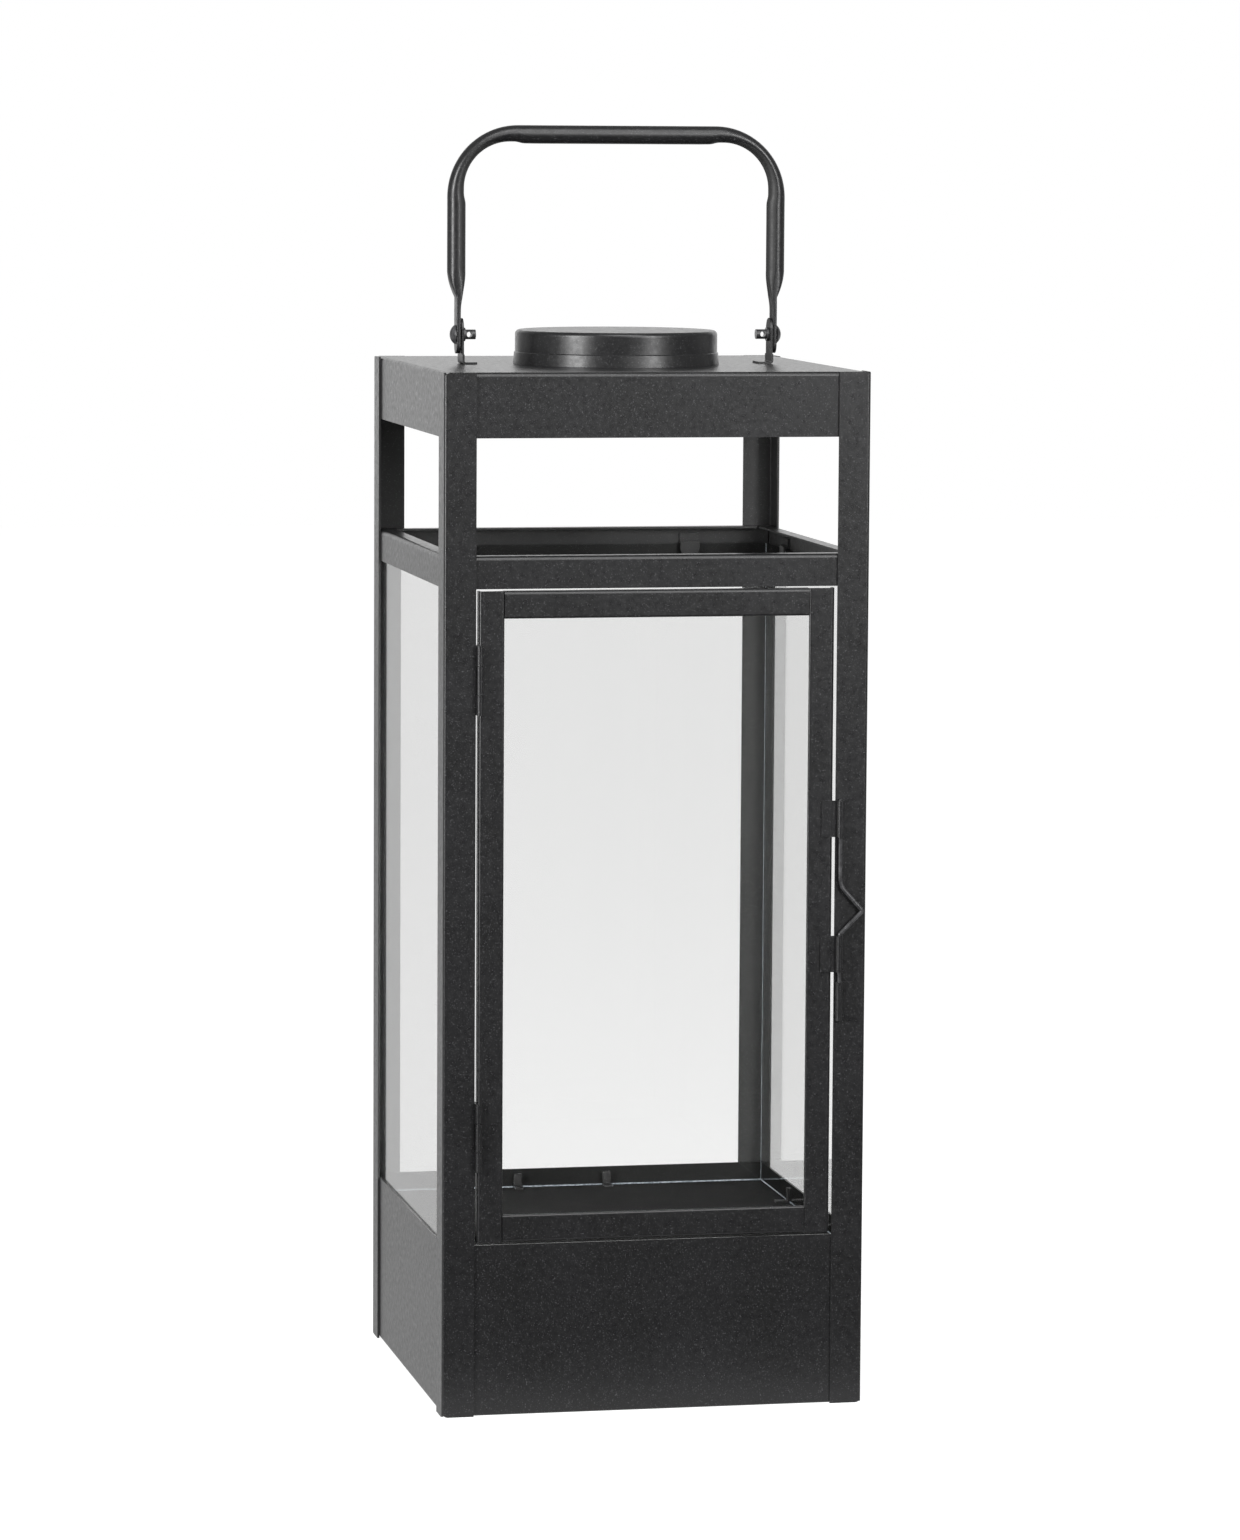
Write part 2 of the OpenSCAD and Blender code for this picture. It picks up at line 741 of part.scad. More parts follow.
post_front_left();
post_front_right();
post_rear_left();
post_rear_right();
top_pan();
chimney_cap();
mid_rail_front();
mid_rail_right();
mid_rail_rear();
mid_rail_left();
base_panel_front();
base_panel_right();
base_panel_rear();
base_panel_left();
candle_shelf();
glass_left();
glass_right();
glass_rear();
glass_clips();
glass_stops();
door_stile_hinge();
door_stile_latch();
door_rail_top();
door_rail_bottom();
door_glass();
door_glass_clips();
hinge_frame_leaves();
hinge_door_leaves();
hinge_pins();
latch_loops();
latch_bolt();
latch_keeper();
ear_left();
ear_right();
pivot_pin_left();
pivot_pin_right();
pivot_collars();
bail_handle();
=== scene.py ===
"""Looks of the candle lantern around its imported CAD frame: finish, glass, handle, light and camera.

Everything is in metres in the frame of the part: +Z up, the door faces -Y.
"""

import json
import math

import bmesh
import bpy
from mathutils import Matrix, Vector

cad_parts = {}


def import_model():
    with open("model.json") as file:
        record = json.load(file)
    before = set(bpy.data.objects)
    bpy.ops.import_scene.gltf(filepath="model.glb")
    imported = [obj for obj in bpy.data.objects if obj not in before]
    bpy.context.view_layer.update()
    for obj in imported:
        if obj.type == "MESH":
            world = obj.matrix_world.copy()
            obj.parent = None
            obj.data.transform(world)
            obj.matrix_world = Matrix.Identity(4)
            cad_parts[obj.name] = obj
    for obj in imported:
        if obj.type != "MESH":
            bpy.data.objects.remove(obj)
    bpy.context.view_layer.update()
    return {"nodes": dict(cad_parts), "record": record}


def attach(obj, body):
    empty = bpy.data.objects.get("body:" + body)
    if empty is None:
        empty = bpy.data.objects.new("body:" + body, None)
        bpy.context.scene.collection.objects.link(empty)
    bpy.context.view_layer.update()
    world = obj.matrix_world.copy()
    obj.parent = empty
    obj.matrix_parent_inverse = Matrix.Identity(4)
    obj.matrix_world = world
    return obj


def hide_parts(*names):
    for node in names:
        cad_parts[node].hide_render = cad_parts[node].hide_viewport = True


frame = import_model()
nodes = frame["nodes"]

MM = 0.001


def add_object(name, data):
    added = bpy.data.objects.new(name, data)
    bpy.context.scene.collection.objects.link(added)
    return added


# ---- Camera ----

PHOTO_WIDTH, PHOTO_HEIGHT = 1240, 1540    # in pixels
CAMERA_AT = Vector((-0.5636, -2.7493, 0.5948))
CAMERA_YAW = 0.2033       # turned from +Y towards +X, in radians
CAMERA_PITCH = 0.1082     # looking down, in radians
CAMERA_ROLL = 0.006       # in radians
FOCAL_PX = 5903.0         # focal length in pixels of the photograph
SENSOR_MM = 36.0
CLIP_NEAR, CLIP_FAR = 0.05, 100


def make_camera():
    forward = Vector((
        math.sin(CAMERA_YAW) * math.cos(CAMERA_PITCH),
        math.cos(CAMERA_YAW) * math.cos(CAMERA_PITCH),
        -math.sin(CAMERA_PITCH),
    ))
    level = Vector((math.cos(CAMERA_YAW), -math.sin(CAMERA_YAW), 0))
    up = level.cross(forward)
    right = math.cos(CAMERA_ROLL) * level + math.sin(CAMERA_ROLL) * up
    up = right.cross(forward)
    data = bpy.data.cameras.new("camera")
    data.sensor_width = SENSOR_MM
    data.lens = FOCAL_PX / max(PHOTO_WIDTH, PHOTO_HEIGHT) * SENSOR_MM
    data.clip_start = CLIP_NEAR
    data.clip_end = CLIP_FAR
    camera = add_object("camera", data)
    turn = Matrix((right, up, -forward)).transposed().to_4x4()
    camera.matrix_world = Matrix.Translation(CAMERA_AT) @ turn
    bpy.context.scene.camera = camera


# ---- Node helpers ----

class Shader:
    """The node tree of a material or of the world, with short ways to add nodes and link them."""

    def __init__(self, owner, output):
        owner.use_nodes = True
        self.owner = owner
        self.tree = owner.node_tree
        self.tree.nodes.clear()
        self.output = self.add(output)

    @classmethod
    def material(cls, name):
        return cls(bpy.data.materials.new(name), "ShaderNodeOutputMaterial")

    def finish(self, surface):
        self.put(self.output.inputs["Surface"], surface)
        return self.owner

    def add(self, kind, **inputs):
        """A new node; an underscore in the name of an input stands for a space."""
        node = self.tree.nodes.new(kind)
        for name, value in inputs.items():
            self.put(node.inputs[name.replace("_", " ")], value)
        return node

    def put(self, socket, value):
        if isinstance(value, bpy.types.NodeSocket):
            self.tree.links.new(value, socket)
        else:
            socket.default_value = value

    def operate(self, kind, operation, a, b):
        node = self.add(kind)
        node.operation = operation
        self.put(node.inputs[0], a)
        self.put(node.inputs[1], b)
        return node

    def math(self, operation, a, b):
        return self.operate("ShaderNodeMath", operation, a, b).outputs[0]

    def spread(self, value, low, high, to_low, to_high):
        """value mapped from one range to another, and held inside it."""
        node = self.add("ShaderNodeMapRange")
        for name, number in (("Value", value), ("From Min", low), ("From Max", high),
                             ("To Min", to_low), ("To Max", to_high)):
            self.put(node.inputs[name], number)
        return node.outputs["Result"]

    def noise(self, scale, detail, roughness=0.5):
        """Noise in the object's own metres, so scale is in features per metre."""
        place = self.add("ShaderNodeTexCoord").outputs["Object"]
        node = self.add("ShaderNodeTexNoise", Vector=place, Scale=scale, Detail=detail, Roughness=roughness)
        return node.outputs["Fac"]

    def relief(self, height, strength, distance):
        node = self.add("ShaderNodeBump", Height=height, Strength=strength, Distance=distance)
        return node.outputs["Normal"]

    def mix_colour(self, share, a, b):
        node = self.add("ShaderNodeMix")
        node.data_type = "RGBA"
        self.put(node.inputs["Factor"], share)
        self.put(node.inputs["A"], a)
        self.put(node.inputs["B"], b)
        return node.outputs["Result"]

    def surface(self, **inputs):
        return self.add("ShaderNodeBsdfPrincipled", **inputs).outputs[0]

    def diffuse(self, level):
        return self.add("ShaderNodeBsdfDiffuse", Color=grey(level)).outputs[0]

    def mix_surface(self, share, a, b):
        node = self.add("ShaderNodeMixShader", Fac=share)
        self.put(node.inputs[1], a)
        self.put(node.inputs[2], b)
        return node.outputs[0]


def grey(level, blue=1.0):
    return (level, level, level * blue, 1.0)


# ---- Materials ----

# Parts of the range of a noise, over which one look turns into another
MOST = (0.3, 0.7)
MIDDLE = (0.35, 0.65)
# range of the grain noise over which pale flecks show: painted glints
GLINT_FLECKS = (0.62, 0.76)
GRIT = (0.5, 0.8)
SCUFFS = (0.4, 0.75)
DUST = (0.62, 0.78)
WEAR = (0.45, 0.75)
SMEARS = (0.58, 0.85)

# Powder coat: features per metre, colours, roughness and relief
COAT_CLOUDS, COAT_GRAIN, COAT_PEEL = 28.3, 1613, 413
COAT_DARK, COAT_PALE = grey(0.007, 1.05), grey(0.009, 1.08)
# paler grey on faces inside the lantern: painted light for the light that reaches them
INSIDE_PAINTED_LIGHT = grey(0.014)
# pale flecks in the base colour: painted glints
COAT_PAINTED_GLINT = grey(0.05, 1.05)
SHEET_MATT, SMOOTH_MATT = 0.27, 0.28
PEEL_MATT = 0.1           # how much rougher the highest spots of the peel are
INSIDE_MATT = 0.2         # how much rougher the coat is inside the lantern
GRIT_HEIGHT = 0.15        # height of the grit beside that of the peel
COAT_RELIEF = 0.02 * MM
COAT_IOR = 1.5
AWAY_LIMIT = -0.01        # metres; below this a face looks towards the axis

# Dulled coat of the shelf
DUSTY_SCUFFS, DUSTY_GRAIN = 61.3, 1437
DUSTY_DARK, DUSTY_PALE, DUSTY_FLECK = grey(0.010), grey(0.016), grey(0.05)
DUSTY_MATT = (0.75, 0.9)
DUSTY_GLOSS = 0.055
DUSTY_RELIEF = 0.04 * MM
DUSTY_STRENGTH = 0.35

# Blackened steel
STEEL_WEAR, STEEL_GRAIN = 263, 2213
STEEL_DARK, STEEL_PALE = grey(0.025, 1.05), grey(0.06, 1.05)
STEEL_MATT = (0.24, 0.36)
STEEL_RELIEF = 0.03 * MM
STEEL_STRENGTH = 0.2

# Window glass
GLASS_SMEARS = 9.3
GLASS_TINT = (0.935, 0.936, 0.934, 1)
LAMP_TINT = (0.95, 0.955, 0.95, 1)
SMEAR_MATT = 0.02
GLASS_IOR = 1.5

# Ground edges of the fixed panes, whose pale strips are painted highlights along the panes
GROUND_GRIT = 903
GROUND_GLINT_DARK, GROUND_GLINT_PALE = (0.12, 0.14, 0.16, 1), (0.30, 0.33, 0.36, 1)
GROUND_MATT = (0.4, 0.6)

ROUGH_DETAIL = 0.6        # weight of the finer layers in scuffs, dust and smears


def towards_axis(s):
    """1 on faces that look towards the upright axis of the lantern, 0 on faces that look away from it."""
    place = s.add("ShaderNodeTexCoord").outputs
    sideways = s.operate("ShaderNodeVectorMath", "MULTIPLY", place["Object"], (1, 1, 0))
    away = s.operate("ShaderNodeVectorMath", "DOT_PRODUCT", sideways.outputs["Vector"], place["Normal"])
    return s.math("LESS_THAN", away.outputs["Value"], AWAY_LIMIT)


def powder_coat(name, matt):
    """Satin black powder coat: fine orange peel with grit, slight clouds, and small pale flecks that are
    painted glints.

    Inside the lantern, where less powder reaches, the coat is thin and rough; its paler grey there is painted
    light, standing in for light that reaches the inner faces.
    """
    s = Shader.material(name)
    clouds = s.noise(COAT_CLOUDS, detail=3)
    grain = s.noise(COAT_GRAIN, detail=1)
    peel = s.noise(COAT_PEEL, detail=2)
    inner = towards_axis(s)
    outside = s.mix_colour(s.spread(clouds, *MIDDLE, 0, 1), COAT_DARK, COAT_PALE)
    # faces towards the axis get the paler grey: painted light
    base = s.mix_colour(inner, outside, INSIDE_PAINTED_LIGHT)
    # pale flecks mixed into the colour: painted glints
    colour = s.mix_colour(s.spread(grain, *GLINT_FLECKS, 0, 1), base, COAT_PAINTED_GLINT)
    rough = s.spread(peel, *MOST, matt, matt + PEEL_MATT)
    rough = s.math("ADD", rough, s.math("MULTIPLY", inner, INSIDE_MATT))
    height = s.math("ADD", peel, s.spread(grain, *GRIT, 0, GRIT_HEIGHT))
    normal = s.relief(height, 1.0, COAT_RELIEF)
    return s.finish(s.surface(Base_Color=colour, Roughness=rough, Normal=normal, IOR=COAT_IOR))


def dusty_coat():
    """The coat of the shelf, dulled by dust and by candles stood on it."""
    s = Shader.material("dusty_coat")
    scuffs = s.noise(DUSTY_SCUFFS, detail=4, roughness=ROUGH_DETAIL)
    grain = s.noise(DUSTY_GRAIN, detail=2, roughness=ROUGH_DETAIL)
    base = s.mix_colour(s.spread(scuffs, *SCUFFS, 0, 1), DUSTY_DARK, DUSTY_PALE)
    colour = s.mix_colour(s.spread(grain, *DUST, 0, 1), base, DUSTY_FLECK)
    rough = s.spread(scuffs, *MOST, *DUSTY_MATT)
    normal = s.relief(grain, DUSTY_STRENGTH, DUSTY_RELIEF)
    return s.finish(s.surface(Base_Color=colour, Roughness=rough, Normal=normal,
                              Specular_IOR_Level=DUSTY_GLOSS))


def hardware():
    """Blackened steel of the pins and the wire."""
    s = Shader.material("blackened_steel")
    wear = s.noise(STEEL_WEAR, detail=3)
    grain = s.noise(STEEL_GRAIN, detail=2)
    colour = s.mix_colour(s.spread(wear, *WEAR, 0, 1), STEEL_DARK, STEEL_PALE)
    rough = s.spread(wear, *MOST, *STEEL_MATT)
    normal = s.relief(grain, STEEL_STRENGTH, STEEL_RELIEF)
    return s.finish(s.surface(Base_Color=colour, Roughness=rough, Normal=normal))


def clear_glass():
    """Window glass that lets lamps through, with faint smears on its faces."""
    s = Shader.material("clear_glass")
    smears = s.noise(GLASS_SMEARS, detail=4, roughness=ROUGH_DETAIL)
    glass = s.surface(Roughness=s.spread(smears, *SMEARS, 0, SMEAR_MATT), Base_Color=GLASS_TINT,
                      IOR=GLASS_IOR, Transmission_Weight=1.0)
    open_to_lamps = s.add("ShaderNodeBsdfTransparent", Color=LAMP_TINT).outputs[0]
    shadow_ray = s.add("ShaderNodeLightPath").outputs["Is Shadow Ray"]
    return s.finish(s.mix_surface(shadow_ray, glass, open_to_lamps))


def ground_glass_glint():
    """Pale, slightly blue surface of a ground edge; the paleness is a painted highlight for the bright line
    along the pane.
    """
    s = Shader.material("ground_glass_glint")
    grit = s.noise(GROUND_GRIT, detail=3)
    # pale colour of the strips: painted highlight
    colour = s.mix_colour(s.spread(grit, *MIDDLE, 0, 1), GROUND_GLINT_DARK, GROUND_GLINT_PALE)
    return s.finish(s.surface(Base_Color=colour, Roughness=s.spread(grit, *MOST, *GROUND_MATT)))


# ---- Handle ----

# Sizes of the handle in millimetres, about the line down the middle of its rolled legs
WALL = 1.0
SEAM_HALF = 0.7              # half width of the open seam in the legs and the grip
SEAM_HALF_BEND = 1.3         # the seam gapes in the bends
SEAM_SHUT = 0.8              # share of the seam that is closed in the flattened ends
OUTER_BEND = 33.8            # radius of the outside of the bends
INNER_BEND = 21.7
PRESS = 0.8                  # how much the tube is pressed flat on the inside of the bends
PRESS_RAMP = 5.0
BEND_LEAD = 12               # length before and after a bend over which the seam opens
STRAP_OUT = 0.3              # outer face of the flattened end, outward from the line of the leg
STRAP_IN = 1.7               # inner face, inward from it
STRAP_HALF_WIDTH = 4.25
STRAP_RISE = 17.5            # from the pivot to where the flattened end begins
TAPER = 13.0                 # height over which the outside of the tube is flattened
TAPER_POWER = 1.75
INNER_TAPER = 18.5           # the inside is drawn in more slowly
INNER_TAPER_END = 1.0        # and ends this far below the tube
BOXY = 0.75                  # how far the flattened end goes from an oval to a box
WALL_SHARE = 0.48            # the most of the depth of a section that one wall takes
THINNEST = 0.01              # half width at which a section's inside stays open
PIN_BORE = 4.8
BORE_DEPTH = 12
BORE_SIDES = 32
RING = 36                    # points on the outside of one section
END_TURNS = range(6, 91, 7)  # degrees round the lower end of the strap at which sections stand
STRAP_LEVELS = (3, 7)        # sections of the strap: above the pivot, and below the taper
TAPER_LEAD = 5               # the taper's sections stand 1 mm apart from this far below it
TAPER_SECTIONS = 20
LEG_LEVEL = 18               # one section of the leg, above the taper
GRIP_LEVEL = 25              # one section of the grip, from the end of the bend
BEND_DEGREES = range(0, 91, 3)
FARTHEST = 12.0              # the search for an outline looks this far
HALVINGS = 24
SHARP_EDGE = math.radians(35)


def outline(x, z, half_width, top, radius):
    """Signed distance from a point to the right half of an upright shape with a round corner."""
    dx = x - (half_width - radius)
    dz = z - (top - radius)
    return math.hypot(max(dx, 0), max(dz, 0)) + min(max(dx, dz), 0) - radius


def reach(x, z, direction, shape):
    """How far it is from a point, along a direction, to where it crosses an outline."""
    inside = outline(x, z, *shape) < 0
    near, far = 0.0, FARTHEST
    for _ in range(HALVINGS):
        middle = (near + far) / 2
        if (outline(x + direction[0] * middle, z + direction[1] * middle, *shape) < 0) == inside:
            near = middle
        else:
            far = middle
    return near


def smooth(value, low, high):
    share = min(max((value - low) / (high - low), 0.0), 1.0)
    return share * share * (3 - 2 * share)


def oval(angle, power):
    """Point of a unit oval: power 1 gives a circle, and lower powers a boxier form."""
    across, along = math.cos(angle), math.sin(angle)
    return math.copysign(abs(across) ** power, across), math.copysign(abs(along) ** power, along)


def section(x, z, inward, out_half, in_half, half_width, seam_half, power):
    """Ring of points of the rolled sheet about (x, z): round the outside, then back round the inside."""
    lip = math.asin(min(seam_half / half_width, 1.0))
    wall = min(WALL, WALL_SHARE * (out_half + in_half))
    middle = (in_half - out_half) / 2
    half_depth = (in_half + out_half) / 2
    angles = [lip + (2 * math.pi - 2 * lip) * step / (RING - 1) for step in range(RING)]
    ring = []
    for inset, turn in ((0.0, angles), (wall, reversed(angles))):
        for angle in turn:
            across, along = oval(angle, power)
            depth = middle + across * (half_depth - inset)
            sideways = along * max(half_width - inset, THINNEST)
            ring.append((x + inward[0] * depth, sideways, z + inward[1] * depth))
    return ring


def leg_sections(leg_x, tube_r, pivot_z, strap_end, bend_z):
    """Sections from the lower end of the strap, through the taper, to the start of the bend."""
    taper_z = pivot_z + STRAP_RISE
    tube_z = taper_z + TAPER
    end_z = pivot_z - strap_end
    heights = [end_z + STRAP_HALF_WIDTH * (1 - math.cos(math.radians(turn))) for turn in END_TURNS]
    heights += [pivot_z + STRAP_LEVELS[0], tube_z - TAPER - STRAP_LEVELS[1]]
    heights += [tube_z - TAPER - TAPER_LEAD + step for step in range(TAPER_SECTIONS)]
    heights += [tube_z + LEG_LEVEL]
    heights += [bend_z - BEND_LEAD + step for step in range(BEND_LEAD)]
    for z in heights:
        down = min(max((tube_z - z) / TAPER, 0.0), 1.0)
        flat = 1 - smooth(z, tube_z - INNER_TAPER_END - INNER_TAPER, tube_z - INNER_TAPER_END)
        bent = smooth(z, bend_z - BEND_LEAD, bend_z)
        out_half = tube_r - (tube_r - STRAP_OUT) * down ** TAPER_POWER
        in_half = tube_r - (tube_r - STRAP_IN) * flat - PRESS * smooth(z, bend_z - PRESS_RAMP, bend_z)
        half_width = tube_r + (STRAP_HALF_WIDTH - tube_r) * flat
        rise = min(z - end_z, STRAP_HALF_WIDTH)
        half_width *= math.sqrt(rise * (2 * STRAP_HALF_WIDTH - rise)) / STRAP_HALF_WIDTH
        seam = SEAM_HALF * (1 - SEAM_SHUT * flat) + (SEAM_HALF_BEND - SEAM_HALF) * bent
        yield section(leg_x, z, (-1, 0), out_half, in_half, half_width, seam, 1 - BOXY * max(flat, down))


def bend_sections(leg_x, grip_z, tube_r):
    """Sections round the bend, where the tube is pressed flat from the inside."""
    radius = (OUTER_BEND + INNER_BEND) / 2
    outside = (leg_x + tube_r, grip_z + tube_r, OUTER_BEND)
    inside = (leg_x - tube_r + PRESS, grip_z - tube_r + PRESS, INNER_BEND)
    for degrees in BEND_DEGREES:
        outward = (math.cos(math.radians(degrees)), math.sin(math.radians(degrees)))
        inward = (-outward[0], -outward[1])
        x = leg_x - radius + radius * outward[0]
        z = grip_z - radius + radius * outward[1]
        yield section(x, z, inward, reach(x, z, outward, outside), reach(x, z, inward, inside),
                      tube_r, SEAM_HALF_BEND, 1.0)


def grip_sections(bend_x, grip_z, tube_r):
    """Sections from the end of the bend to the middle of the grip."""
    for step in [*range(1, BEND_LEAD + 1), GRIP_LEVEL, bend_x]:
        bent = 1 - smooth(step, 0, BEND_LEAD)
        in_half = tube_r - PRESS * (1 - smooth(step, 0, PRESS_RAMP))
        seam = SEAM_HALF + (SEAM_HALF_BEND - SEAM_HALF) * bent
        yield section(bend_x - step, grip_z, (0, -1), tube_r, in_half, tube_r, seam, 1.0)


def pivot_height():
    joints = frame["record"]["behaviour"]["joints"]
    return next(joint["pos_m"][2] for joint in joints if joint["child"] == "bail") / MM


def rings_mesh(name, rings):
    """Mesh through rings of equally many points, closed at both ends."""
    count = len(rings[0])
    faces = [
        (r * count + i, r * count + (i + 1) % count, (r + 1) * count + (i + 1) % count, (r + 1) * count + i)
        for r in range(len(rings) - 1) for i in range(count)
    ]
    faces += [tuple(range(count)), tuple(range((len(rings) - 1) * count, len(rings) * count))]
    mesh = bpy.data.meshes.new(name)
    mesh.from_pydata([Vector(point) * MM for ring in rings for point in ring], [], faces)
    return mesh


def handle(coat):
    """Handle rolled from sheet, with its seam, pressed bends and flattened ends."""
    part = nodes["bail_handle"]
    corners = [part.matrix_world @ Vector(corner) / MM for corner in part.bound_box]
    tube_r = max(corner.y for corner in corners)
    leg_x = max(corner.x for corner in corners) - tube_r
    grip_z = max(corner.z for corner in corners) - tube_r
    pivot_z = pivot_height()
    strap_end = pivot_z - min(corner.z for corner in corners)
    bend = (OUTER_BEND + INNER_BEND) / 2
    half = list(leg_sections(leg_x, tube_r, pivot_z, strap_end, grip_z - bend))
    half += bend_sections(leg_x, grip_z, tube_r)
    half += grip_sections(leg_x - bend, grip_z, tube_r)
    rings = half + [[(-x, y, z) for x, y, z in ring] for ring in reversed(half[:-1])]
    mesh = rings_mesh("rolled_handle", rings)
    mesh.materials.append(coat)
    mesh.shade_smooth()
    orient_faces(mesh)
    rolled = add_object("rolled_handle", mesh)
    bore(rolled, pivot_z, leg_x)
    rolled.data.set_sharp_from_angle(angle=SHARP_EDGE)
    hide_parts("bail_handle")
    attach(rolled, "bail")


def orient_faces(mesh):
    shape = bmesh.new()
    shape.from_mesh(mesh)
    bmesh.ops.recalc_face_normals(shape, faces=shape.faces)
    shape.to_mesh(mesh)
    shape.free()


def bore(rolled, pivot_z, leg_x):
    """Cuts the bores of the pivot pins through both flattened ends."""
    shape = bmesh.new()
    turn = Matrix.Rotation(math.pi / 2, 4, "Y")
    for side in (-1, 1):
        place = Matrix.Translation((side * leg_x * MM, 0, pivot_z * MM))
        bmesh.ops.create_cone(shape, cap_ends=True, segments=BORE_SIDES, radius1=PIN_BORE / 2 * MM,
                              radius2=PIN_BORE / 2 * MM, depth=BORE_DEPTH * MM, matrix=place @ turn)
    cutter_mesh = bpy.data.meshes.new("cutter")
    shape.to_mesh(cutter_mesh)
    shape.free()
    cutter = add_object("cutter", cutter_mesh)
    cut = rolled.modifiers.new("bores", "BOOLEAN")
    cut.object = cutter
    cut.solver = "EXACT"
    bpy.context.view_layer.update()
    done = bpy.data.meshes.new_from_object(rolled.evaluated_get(bpy.context.evaluated_depsgraph_get()))
    rolled.modifiers.clear()
    rolled.data = done
    bpy.data.objects.remove(cutter)


# ---- Finish ----

COAT_ROUND = 0.28 * MM    # how round the coat makes a cut edge
ROUND_FROM = math.radians(50)
ROUND_SEGMENTS = 2
GROUND_W = 0.7 * MM       # width of the ground edge of a pane
GROUND_T = 0.04 * MM      # how far it stands out from the face


def finish_nodes(smooth_coat):
    looks = {
        "black_powder_coat": powder_coat("powder_coat", SHEET_MATT),
        "black_hardware": hardware(),
        "clear_glass": clear_glass(),
    }
    for part in frame["record"]["subparts"]:
        cover(part["node"], looks[part["material_slot"]])
        if part["node"].startswith("mid_rail_"):
            soften_edges(nodes[part["node"]])
    cover("candle_shelf", dusty_coat())
    cover("chimney_cap", smooth_coat)


def cover(name, look):
    for place in nodes[name].material_slots:
        place.material = look


def soften_edges(sheet):
    """The coat rounds the cut edges of sheet metal a little."""
    rounding = sheet.modifiers.new("coat_rounding", "BEVEL")
    rounding.width = COAT_ROUND
    rounding.segments = ROUND_SEGMENTS
    rounding.limit_method = "ANGLE"
    rounding.angle_limit = ROUND_FROM
    rounding.harden_normals = True


def ground_edge_glints(name, look):
    """Ground strips along the foot and the upright edges of a fixed pane, on its inner face; their pale
    colour paints the highlight line along the pane.
    """
    corners = [v.co for v in nodes[name].data.vertices]
    low = [min(c[i] for c in corners) for i in range(3)]
    high = [max(c[i] for c in corners) for i in range(3)]
    thin = 0 if high[0] - low[0] < high[1] - low[1] else 1
    wide = 1 - thin
    inner, way = (low[thin], -1) if low[thin] > 0 else (high[thin], 1)
    side_foot = low[2] + GROUND_W
    mesh = bmesh.new()
    for start, end, foot, top in ((low[wide], high[wide], low[2], side_foot),
                                  (low[wide], low[wide] + GROUND_W, side_foot, high[2]),
                                  (high[wide] - GROUND_W, high[wide], side_foot, high[2])):
        centre = [0, 0, (foot + top) / 2]
        centre[thin] = inner + way * GROUND_T / 2
        centre[wide] = (start + end) / 2
        size = [0, 0, top - foot]
        size[thin] = GROUND_T
        size[wide] = end - start
        bmesh.ops.create_cube(mesh, size=1.0, matrix=Matrix.Translation(centre) @ Matrix.Diagonal((*size, 1)))
    strip = bpy.data.meshes.new(name + "_ground_edge_glints")
    mesh.to_mesh(strip)
    mesh.free()
    strip.materials.append(look)
    edge = add_object(name + "_ground_edge_glints", strip)
    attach(edge, "frame")


# ---- Light, floor and background ----

FLOOR_HALF = 6.0
FLOOR_GLOW = 0.9          # light that the camera gets from the floor itself
FLOOR_SHADED = 0.3        # albedo for the camera, which shows the shadow
FLOOR_MATT = 0.7          # albedo for light that the floor throws back
DIM = 0.03                # how bright gloss sees the floor in front of the lantern
FLOOR_LEVEL = 0.72        # how bright gloss sees the lit floor
DARK_FROM, WHITE_FROM = -0.20, -0.125       # the floor turns from dark to white for gloss between these Y
WALLS = 0.3               # how bright gloss sees the studio round the backdrop
BACKDROP_YAW = math.radians(11.5)           # direction of the white backdrop, from +Y towards +X
BACKDROP_EDGE, BACKDROP_FULL = 0.72, 0.93   # cosines of the angle from it where it ends and is full
BACKDROP_TOP, BACKDROP_LOW = 0.60, 0.30     # sines of the elevation where it ends and is full
BACKDROP_LEVEL = 1.29     # how bright gloss sees the backdrop
AMBIENT = 0.35            # what the world gives diffuse surfaces
FIRST = 0.5               # a depth below this is that of a ray with no such bounce behind it
AIM = Vector((0, 0, 0.3))  # what the lamps point at


def ray_kinds(s):
    """1 for a ray straight from the camera or through glass, and 1 for a ray that gloss sends out."""
    path = s.add("ShaderNodeLightPath")
    direct = s.math("MAXIMUM", path.outputs["Is Camera Ray"], path.outputs["Is Transmission Ray"])
    unmatt = s.math("LESS_THAN", path.outputs["Diffuse Depth"], FIRST)
    unglossed = s.math("LESS_THAN", path.outputs["Glossy Depth"], FIRST)
    plain = s.math("MULTIPLY", s.math("MULTIPLY", direct, unmatt), unglossed)
    gloss = s.math("MULTIPLY", unmatt, s.math("SUBTRACT", 1.0, unglossed))
    return plain, gloss


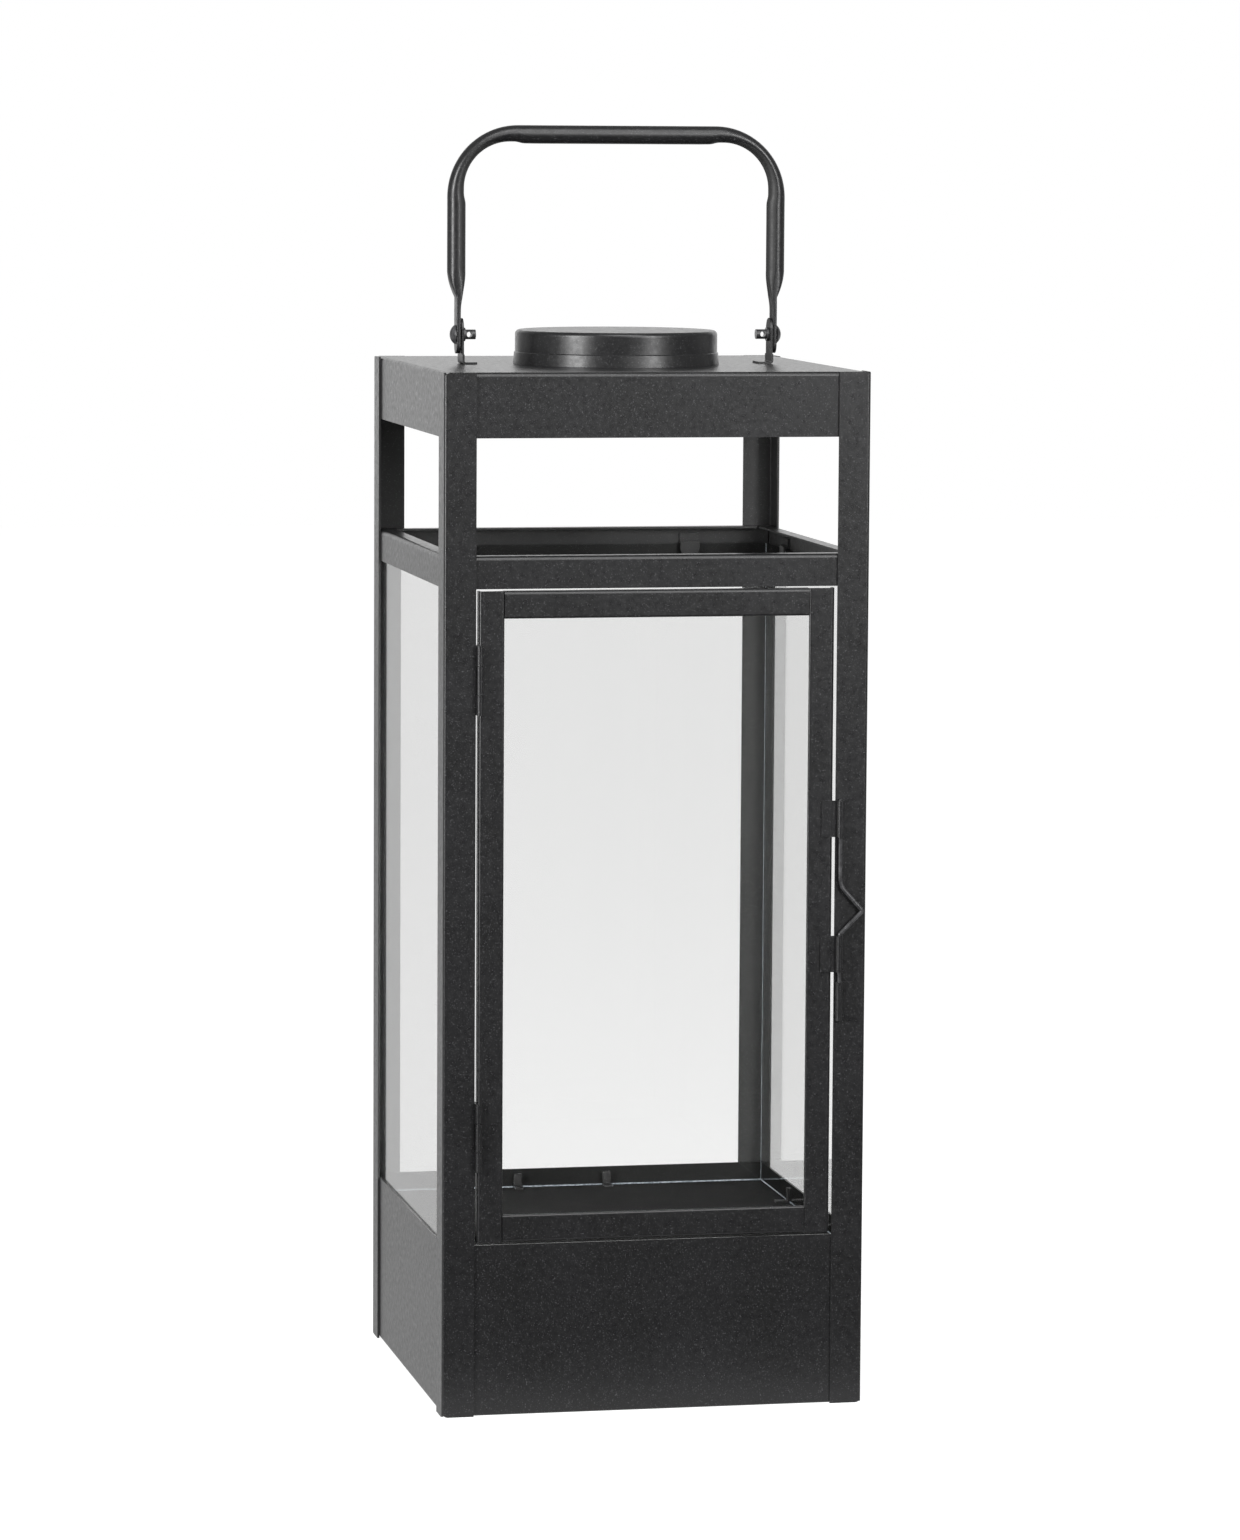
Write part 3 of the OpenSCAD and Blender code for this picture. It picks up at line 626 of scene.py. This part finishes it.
def floor():
    """White floor that keeps the shadow; gloss sees it dark in front of the lantern."""
    mesh = bpy.data.meshes.new("floor")
    corners = [(x * FLOOR_HALF, y * FLOOR_HALF, 0) for x, y in ((-1, -1), (1, -1), (1, 1), (-1, 1))]
    mesh.from_pydata(corners, [], [(0, 1, 2, 3)])
    plane = add_object("floor", mesh)
    s = Shader.material("pale_floor")
    s.owner.cycles.emission_sampling = "NONE"
    plain, gloss = ray_kinds(s)
    place = s.add("ShaderNodeSeparateXYZ", Vector=s.add("ShaderNodeNewGeometry").outputs["Position"])
    lit = s.spread(place.outputs["Y"], DARK_FROM, WHITE_FROM, DIM, FLOOR_LEVEL)
    strength = s.math("MAXIMUM", s.math("MULTIPLY", plain, FLOOR_GLOW), s.math("MULTIPLY", gloss, lit))
    by_eye = s.mix_surface(plain, s.diffuse(FLOOR_MATT), s.diffuse(FLOOR_SHADED))
    by_gloss = s.mix_surface(gloss, by_eye, s.diffuse(0.0))
    glow = s.add("ShaderNodeEmission", Color=grey(1.0), Strength=strength)
    both = s.add("ShaderNodeAddShader")
    s.put(both.inputs[0], by_gloss)
    s.put(both.inputs[1], glow.outputs[0])
    mesh.materials.append(s.finish(both.outputs[0]))


def world():
    """White to the eye and through glass; gloss sees a white backdrop behind the lantern only."""
    studio = bpy.data.worlds.new("studio")
    studio.cycles.sampling_method = "NONE"
    bpy.context.scene.world = studio
    s = Shader(studio, "ShaderNodeOutputWorld")
    direction = s.add("ShaderNodeTexCoord").outputs["Generated"]
    backdrop_at = (math.sin(BACKDROP_YAW), math.cos(BACKDROP_YAW), 0)
    towards = s.operate("ShaderNodeVectorMath", "DOT_PRODUCT", direction, backdrop_at)
    across = s.spread(towards.outputs["Value"], BACKDROP_EDGE, BACKDROP_FULL, 0, 1)
    height = s.add("ShaderNodeSeparateXYZ", Vector=direction).outputs["Z"]
    low = s.spread(height, BACKDROP_LOW, BACKDROP_TOP, BACKDROP_LEVEL, 0)
    backdrop = s.math("MAXIMUM", s.math("MULTIPLY", across, low), WALLS)
    plain, gloss = ray_kinds(s)
    matt = s.math("SUBTRACT", 1.0, s.math("ADD", plain, gloss))
    strength = s.math("ADD", plain, s.math("MULTIPLY", gloss, backdrop))
    strength = s.math("ADD", strength, s.math("MULTIPLY", matt, AMBIENT))
    s.finish(s.add("ShaderNodeBackground", Color=grey(1.0), Strength=strength).outputs[0])


def softbox(name, azimuth, elevation, distance, width, height, watts):
    """An area lamp round the lantern; azimuth is from its front, positive to the right."""
    a = math.radians(azimuth)
    e = math.radians(elevation)
    at = AIM + distance * Vector((math.sin(a) * math.cos(e), -math.cos(a) * math.cos(e), math.sin(e)))
    data = bpy.data.lights.new(name, "AREA")
    data.shape = "RECTANGLE"
    data.size = width
    data.size_y = height
    data.energy = watts
    lamp = add_object(name, data)
    lamp.location = at
    lamp.rotation_euler = (AIM - at).to_track_quat("-Z", "Y").to_euler()


def lamps():
    softbox("softbox_front", azimuth=17, elevation=26, distance=2.2, width=1.0, height=0.9, watts=10.9)
    softbox("softbox_left", azimuth=-57, elevation=14, distance=2.0, width=0.6, height=1.3, watts=40)
    softbox("softbox_right", azimuth=31, elevation=18, distance=2.0, width=0.4, height=1.1, watts=19)
    softbox("overhead", azimuth=0, elevation=55, distance=2.2, width=1.2, height=1.2, watts=21)


bpy.context.scene.view_settings.view_transform = "Standard"
make_camera()
smooth_coat = powder_coat("smooth_powder_coat", SMOOTH_MATT)
finish_nodes(smooth_coat)
handle(smooth_coat)
# pale strips along the fixed panes: painted highlights
ground = ground_glass_glint()
for pane in ("glass_left", "glass_right", "glass_rear"):
    ground_edge_glints(pane, ground)
floor()
world()
lamps()
